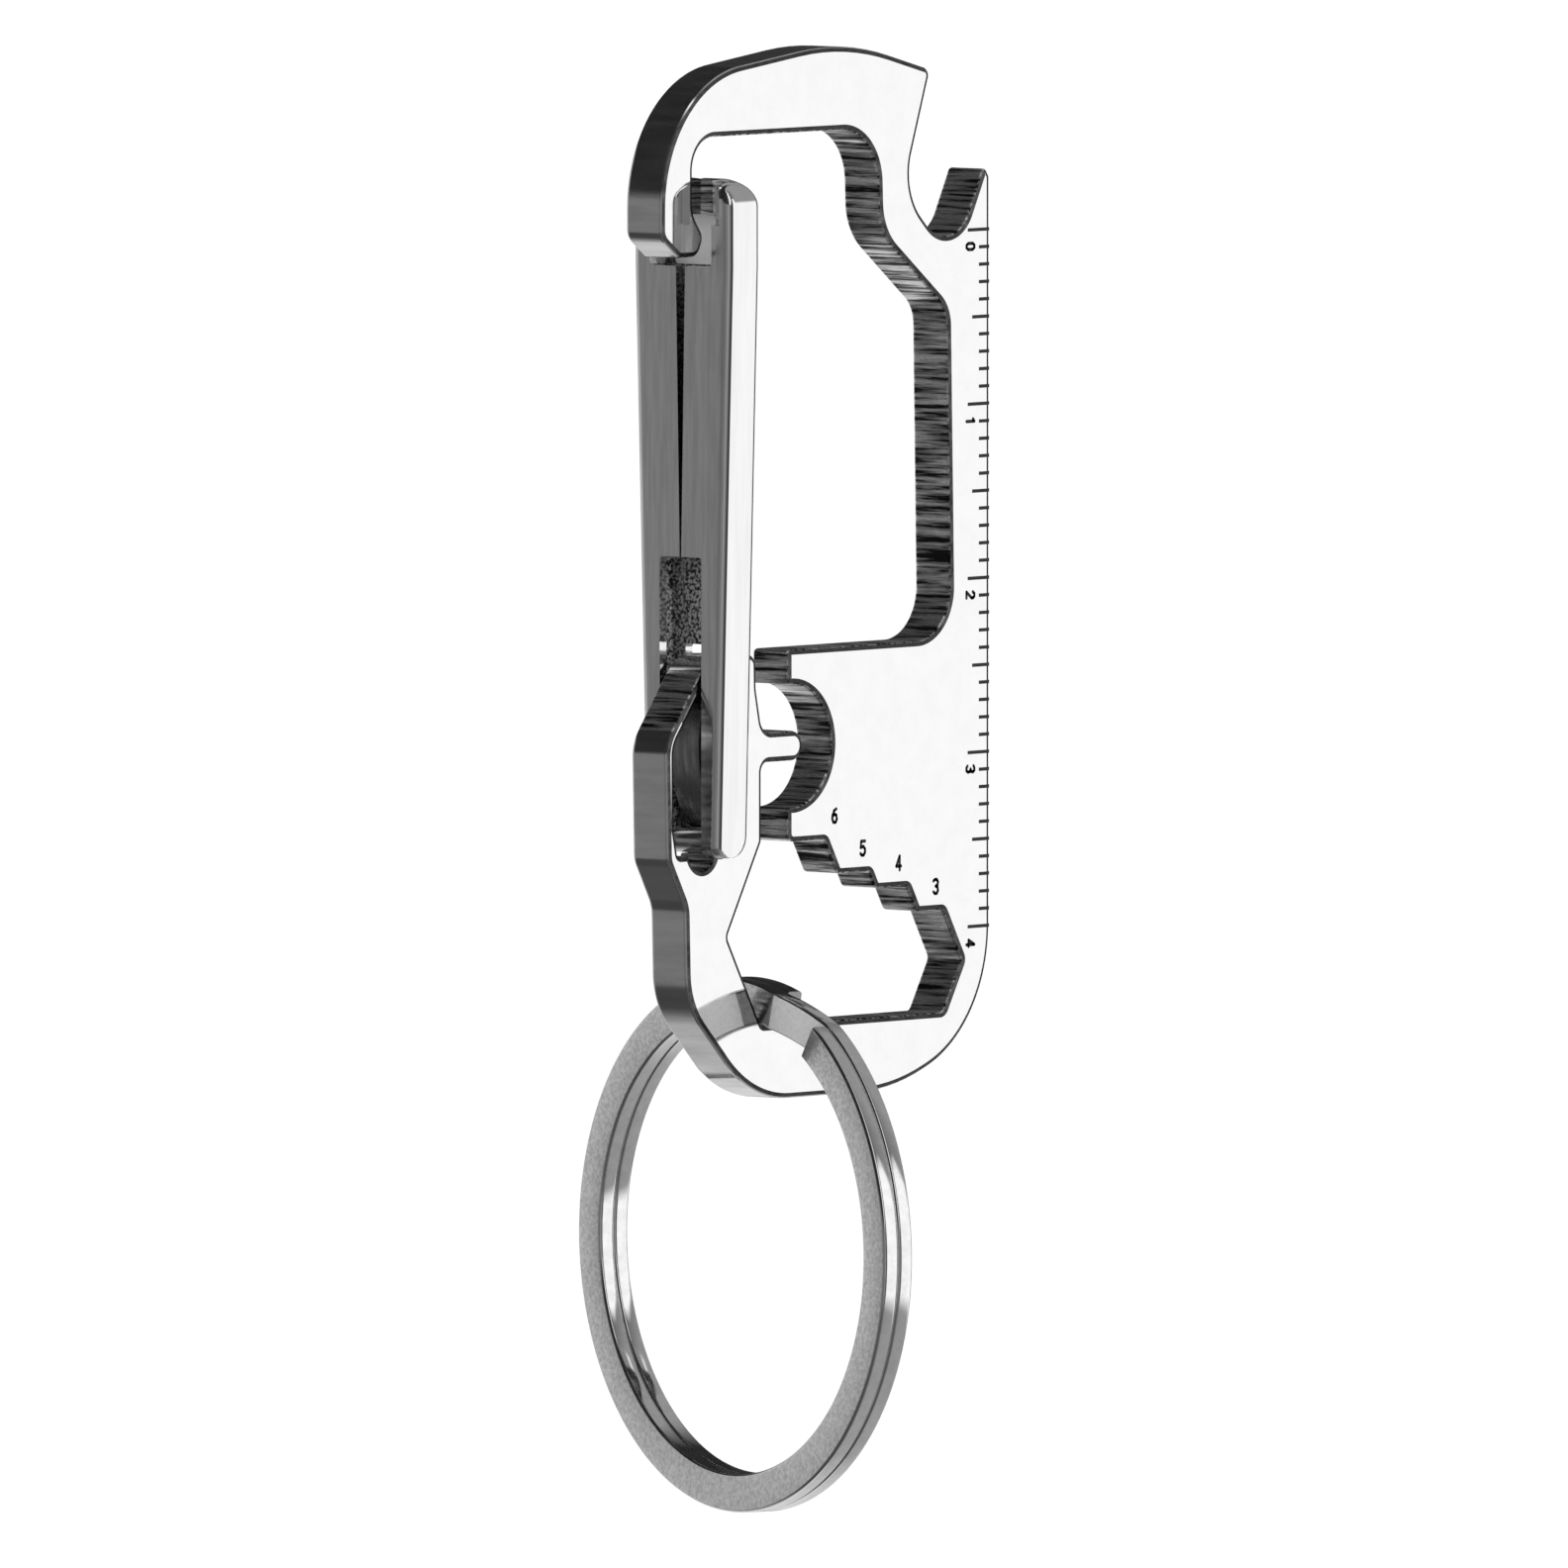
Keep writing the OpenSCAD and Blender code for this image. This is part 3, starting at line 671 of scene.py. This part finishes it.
def make_pin():
    """The gate's pin with chamfered ends."""
    radius = (pin_high.z - pin_low.z) / 2
    centre = (pin_low + pin_high) / 2
    rings = []
    for y, r in ((pin_low.y, radius - PIN_CHAMFER), (pin_low.y + PIN_CHAMFER, radius),
                 (pin_high.y - PIN_CHAMFER, radius), (pin_high.y, radius - PIN_CHAMFER)):
        angles = [math.tau * k / 64 for k in range(64)]
        rings.append([(centre.x + r * math.cos(a), y, centre.z + r * math.sin(a)) for a in angles])
    settle(to_object("hinge_pin", loft(rings)), [pin_finish], "gate", "gate_pin")


def make_spring():
    """The bowed leaf behind the gate's flange."""
    foot = pin_high.z + 0.05
    half_l = (SLOT_TOP - foot) / 2
    bend = (half_l ** 2 + LEAF_BOW ** 2) / (2 * LEAF_BOW)
    sweep = math.asin(half_l / bend)
    middle = Vector((GATE_MID + 0.3 - LEAF_BOW + bend, foot + half_l))
    angles = [sweep * (1 - 2 * k / 40) for k in range(41)]
    side = [middle - r * Vector((math.cos(a), math.sin(a)))
            for r, part in ((bend, angles), (bend - LEAF_T, angles[::-1])) for a in part]
    area = sum(a.x * b.y - b.x * a.y for a, b in zip(side, side[1:] + side[:1]))
    loop = side if area > 0 else side[::-1]
    piece = to_object("leaf_spring", slab([loop], spring_low.y, spring_high.y, LEAF_EDGE))
    settle(piece, [blued], "plate", "gate_spring")


def ring_tree(material):
    """Geometry nodes that coil a flat wire in two turns, with a ramp from one turn to the next."""
    tree = bpy.data.node_groups.new("split_ring_coil", "GeometryNodeTree")
    socket = tree.interface.new_socket
    sizes = {"Radius": RING_R - WIRE_W / 2, "Wire Width": WIRE_W, "Wire Thickness": WIRE_T,
             "Edge Radius": 0.2,
             "Start": RAMP_TO + WIRE_GAP, "End": RAMP_FROM + 2 * math.tau - WIRE_GAP,
             "Ramp Start": RAMP_FROM + math.tau, "Ramp End": RAMP_TO + math.tau}
    for name, value in sizes.items():
        socket(name=name, in_out="INPUT", socket_type="NodeSocketFloat").default_value = value
    socket(name="Geometry", in_out="OUTPUT", socket_type="NodeSocketGeometry")
    n = Nodes(tree)
    given = n.add("NodeGroupInput").outputs
    line = n.add("GeometryNodeMeshLine", {"Count": WIRE_STEPS + 1})
    share = n.math("DIVIDE", n.add("GeometryNodeInputIndex").outputs[0], WIRE_STEPS)
    sweep = n.math("SUBTRACT", given["End"], given["Start"])
    angle = n.math("MULTIPLY_ADD", share, sweep, given["Start"])
    ramp = n.add("ShaderNodeMapRange", [angle, given["Ramp Start"], given["Ramp End"], -0.5, 0.5]).outputs[0]
    place = n.add("ShaderNodeCombineXYZ", [n.math("MULTIPLY", n.math("COSINE", angle), given["Radius"]),
                                           n.math("MULTIPLY", n.math("SINE", angle), given["Radius"]),
                                           n.math("MULTIPLY", ramp, given["Wire Thickness"])]).outputs[0]
    placed = n.add("GeometryNodeSetPosition", {"Geometry": line.outputs[0], "Position": place}).outputs[0]
    curve = n.add("GeometryNodeMeshToCurve", [placed]).outputs[0]
    upright = n.add("GeometryNodeSetCurveNormal", {"Curve": curve}, mode="Z_UP")
    section = n.add("GeometryNodeCurvePrimitiveQuadrilateral",
                    {"Width": given["Wire Width"], "Height": given["Wire Thickness"]}).outputs[0]
    softened = n.add("GeometryNodeFilletCurve",
                     {"Curve": section, "Radius": given["Edge Radius"], "Count": 5}, mode="POLY")
    swept = n.add("GeometryNodeCurveToMesh",
                  {"Curve": upright.outputs[0], "Profile Curve": softened.outputs[0],
                   "Fill Caps": True}).outputs[0]
    real = n.add("GeometryNodeRealizeInstances", [swept]).outputs[0]
    done = n.add("GeometryNodeSetMaterial", {"Geometry": real, "Material": material}).outputs[0]
    result = n.add("NodeGroupOutput")
    tree.links.new(done, result.inputs[0])
    return tree


def from_nodes(name, tree):
    """The plain mesh that a node tree makes."""
    holder = to_object(name + "_maker", bmesh.new())
    maker = holder.modifiers.new("nodes", "NODES")
    maker.node_group = tree
    for item in tree.interface.items_tree:
        if item.item_type == "SOCKET" and item.in_out == "INPUT":
            maker[item.identifier] = item.default_value
    evaluated = holder.evaluated_get(bpy.context.evaluated_depsgraph_get())
    mesh = bpy.data.meshes.new_from_object(evaluated)
    bpy.data.objects.remove(holder)
    piece = bpy.data.objects.new(name, mesh)
    bpy.context.scene.collection.objects.link(piece)
    return piece


def make_ring():
    """The split ring, hung on the bar through the wrench opening."""
    piece = from_nodes("split_ring_wire", ring_tree(ring_face))
    mesh = piece.data
    # the ramp's flat faces take the painted-light finish
    for polygon in mesh.polygons:
        bearing = math.atan2(polygon.center.y, polygon.center.x)
        ramp = RAMP_FROM < bearing < RAMP_TO and abs(polygon.normal.z) > 0.9
        polygon.material_index = 2 if ramp else 0 if abs(polygon.normal.z) > 0.9 else 1
    # the coil's X points up and its Y towards the front, with its axis across the plate
    stand = Matrix(((0, 0, 1, 0), (0, -1, 0, 0), (1, 0, 0, 0), (0, 0, 0, 1)))
    mesh.transform(Matrix.Translation(SWING) @ Matrix.Rotation(RING_YAW, 4, "Z")
                   @ Matrix.Rotation(RING_LEAN, 4, "X") @ Matrix.Translation((0, 0, -RING_DROP)) @ stand)
    bm = bmesh.new()
    bm.from_mesh(mesh)
    bmesh.ops.remove_doubles(bm, verts=bm.verts, dist=1e-4)
    bmesh.ops.recalc_face_normals(bm, faces=bm.faces)
    bm.to_mesh(mesh)
    bm.free()
    settle(piece, [ring_face, ring_rim, ring_ramp_painted_light], "ring", "split_ring", smooth=25)


def ticks_tree(material):
    """Geometry nodes that repeat the ruler's lines, with every fifth and tenth longer."""
    tree = bpy.data.node_groups.new("ruler_ticks", "GeometryNodeTree")
    socket = tree.interface.new_socket
    for name, value in (("Line Width", LINE_W), ("Pitch", 1.0), ("Depth", MARK_DEPTH - FILL_SINK)):
        socket(name=name, in_out="INPUT", socket_type="NodeSocketFloat").default_value = value
    socket(name="Geometry", in_out="OUTPUT", socket_type="NodeSocketGeometry")
    n = Nodes(tree)
    given = n.add("NodeGroupInput").outputs
    step = n.add("ShaderNodeCombineXYZ", [0, 0, n.math("MULTIPLY", given["Pitch"], -1)]).outputs[0]
    line = n.add("GeometryNodeMeshLine",
                 {"Count": TICKS, "Start Location": (RIGHT - FILL_SHORT, 0, RULER_ZERO), "Offset": step})
    index = n.add("GeometryNodeInputIndex").outputs[0]
    fifth = n.math("LESS_THAN", n.math("MODULO", index, 5), 0.5)
    tenth = n.math("LESS_THAN", n.math("MODULO", index, 10), 0.5)
    length = n.math("MULTIPLY_ADD", fifth, 0.6, n.math("MULTIPLY_ADD", tenth, 0.4, 0.96))
    bar = n.add("GeometryNodeMeshCube", {"Size": (1, 1, 1)}).outputs[0]
    bar = n.add("GeometryNodeTransform", {"Geometry": bar, "Translation": (-0.5, 0, 0)}).outputs[0]
    size = n.add("ShaderNodeCombineXYZ", [length, given["Depth"], given["Line Width"]]).outputs[0]
    placed = n.add("GeometryNodeInstanceOnPoints",
                   {"Points": line.outputs[0], "Instance": bar, "Scale": size})
    real = n.add("GeometryNodeRealizeInstances", [placed.outputs[0]]).outputs[0]
    done = n.add("GeometryNodeSetMaterial", {"Geometry": real, "Material": material}).outputs[0]
    result = n.add("NodeGroupOutput")
    tree.links.new(done, result.inputs[0])
    return tree


def make_marks():
    """The black fill of the ruler and of the size digits, a little below the face."""
    front, back = FRONT + FILL_SINK, FRONT + MARK_DEPTH
    ticks = from_nodes("ruler_fill", ticks_tree(mark_black))
    ticks.data.transform(Matrix.Translation((0, (front + back) / 2, 0)))
    bm = bmesh.new()
    bm.from_mesh(ticks.data)
    ruler_digits(bm, front, back)
    bmesh.ops.recalc_face_normals(bm, faces=bm.faces)
    bm.to_mesh(ticks.data)
    bm.free()
    settle(ticks, [mark_black], "plate", "ruler_marks")
    bm = bmesh.new()
    size_digits(bm, front, back)
    bmesh.ops.recalc_face_normals(bm, faces=bm.faces)
    settle(to_object("size_digit_fill", bm), [mark_black], "plate", "size_marks")


# ---- camera, floor and light ---------------------------------------------------------------------

def make_camera():
    """A long lens from the front left, slightly above."""
    azimuth, elevation = math.radians(50), math.radians(3.4)
    aim = Vector((0, -2.04, -37.14)) * MM
    lens, sensor, view_width = 1200.0, 36.0, 89.5 * MM
    along = Vector((math.sin(azimuth) * math.cos(elevation), math.cos(azimuth) * math.cos(elevation),
                    -math.sin(elevation)))
    data = bpy.data.cameras.new("camera")
    data.lens = lens
    data.sensor_width = sensor
    data.clip_start = 0.01
    data.clip_end = 30
    camera = bpy.data.objects.new("camera", data)
    camera.location = aim - along * (view_width * lens / sensor)
    camera.rotation_euler = along.to_track_quat("-Z", "Y").to_euler()
    bpy.context.scene.collection.objects.link(camera)
    bpy.context.scene.camera = camera


def make_floor():
    """A pale studio floor below the hanging ring, kept out of the steel's reflections."""
    mesh = bpy.data.meshes.new("floor")
    reach, level = 8.0, cad_box[0][2] - 0.03
    mesh.from_pydata([(-reach, -reach, level), (reach, -reach, level), (reach, reach, level),
                      (-reach, reach, level)], [], [(0, 1, 2, 3)])
    floor = bpy.data.objects.new("floor", mesh)
    floor.visible_glossy = False
    bpy.context.scene.collection.objects.link(floor)
    material = bpy.data.materials.new("studio_floor")
    material.use_nodes = True
    shader = material.node_tree.nodes["Principled BSDF"]
    shader.inputs["Base Color"].default_value = (0.93, 0.93, 0.93, 1)
    shader.inputs["Roughness"].default_value = 0.9
    mesh.materials.append(material)


def around(degrees):
    """A bearing from +X, counted towards +Y, as a share of the full turn from -X."""
    return ((degrees + 180) % 360) / 360


def bearing_ramp(n, turn, stops):
    return n.ramp(turn, sorted((around(degrees), grey) for degrees, grey in stops))


def make_world():
    """A white studio; the steel sees one wide white window, dark cloths and a few soft greys."""
    world = bpy.data.worlds.new("studio")
    world.use_nodes = True
    bpy.context.scene.world = world
    tree = world.node_tree
    tree.nodes.clear()
    n = Nodes(tree)
    direction = n.add("ShaderNodeTexCoord").outputs["Generated"]
    axes = n.add("ShaderNodeSeparateXYZ", [direction])
    bearing = n.math("ARCTAN2", axes.outputs[1], axes.outputs[0])
    turn = n.math("MULTIPLY_ADD", bearing, 1 / math.tau, 0.5)
    level = bearing_ramp(n, turn, [(-179.9, 0.12), (-150, 0.2), (-130, 0.3), (-104, 0.05), (-86, 0.04),
                                   (-78, 1.0), (-20, 1.0), (-12, 0.05), (45, 0.03), (66, 0.4), (95, 0.55),
                                   (112, 0.42), (128, 0.22), (145, 0.19), (165, 0.16), (179.9, 0.12)])
    high = bearing_ramp(n, turn, [(-179.9, 0.015), (-150, 0.02), (-128, 0.05), (-116, 0.95), (-104, 0.95),
                                  (-92, 0.05), (-45, 0.3), (5, 0.3), (25, 0.02), (90, 0.012), (179.9, 0.015)])
    low = bearing_ramp(n, turn, [(-179.9, 0.07), (-120, 0.12), (-70, 0.3), (0, 0.35), (20, 0.5), (45, 0.75),
                                 (75, 0.6), (100, 0.3), (120, 0.06), (179.9, 0.07)])
    rise = bearing_ramp(n, turn, [(-179.9, 0.1), (-110, 0.12), (-90, 0.5), (-66, 0.5), (-50, 0.2), (0, 0.2),
                                  (60, 0.35), (124, 0.35), (134, 0.08), (179.9, 0.1)])
    above = n.math("SUBTRACT", axes.outputs[2], rise)
    up = n.add("ShaderNodeMapRange", [above, -0.03, 0.06]).outputs[0]
    fall = bearing_ramp(n, turn, [(-179.9, 0.33), (18, 0.33), (32, 0.16), (72, 0.16), (90, 0.33),
                                  (179.9, 0.33)])
    below = n.math("ADD", axes.outputs[2], fall)
    down = n.add("ShaderNodeMapRange", [below, 0.05, -0.05]).outputs[0]
    mixed = n.add("ShaderNodeMixRGB", [up, level, high]).outputs[0]
    mixed = n.add("ShaderNodeMixRGB", [down, mixed, low]).outputs[0]
    in_steel = n.add("ShaderNodeLightPath").outputs["Is Glossy Ray"]
    studio = n.add("ShaderNodeMixRGB", [in_steel, (1.15, 1.15, 1.15, 1), mixed]).outputs[0]
    background = n.add("ShaderNodeBackground", [studio, 1.0])
    output = n.add("ShaderNodeOutputWorld")
    tree.links.new(background.outputs[0], output.inputs[0])


make_camera()
make_floor()
make_world()
bpy.context.scene.view_settings.view_transform = "Standard"
make_plate()
make_gate()
make_pin()
make_spring()
make_ring()
make_marks()
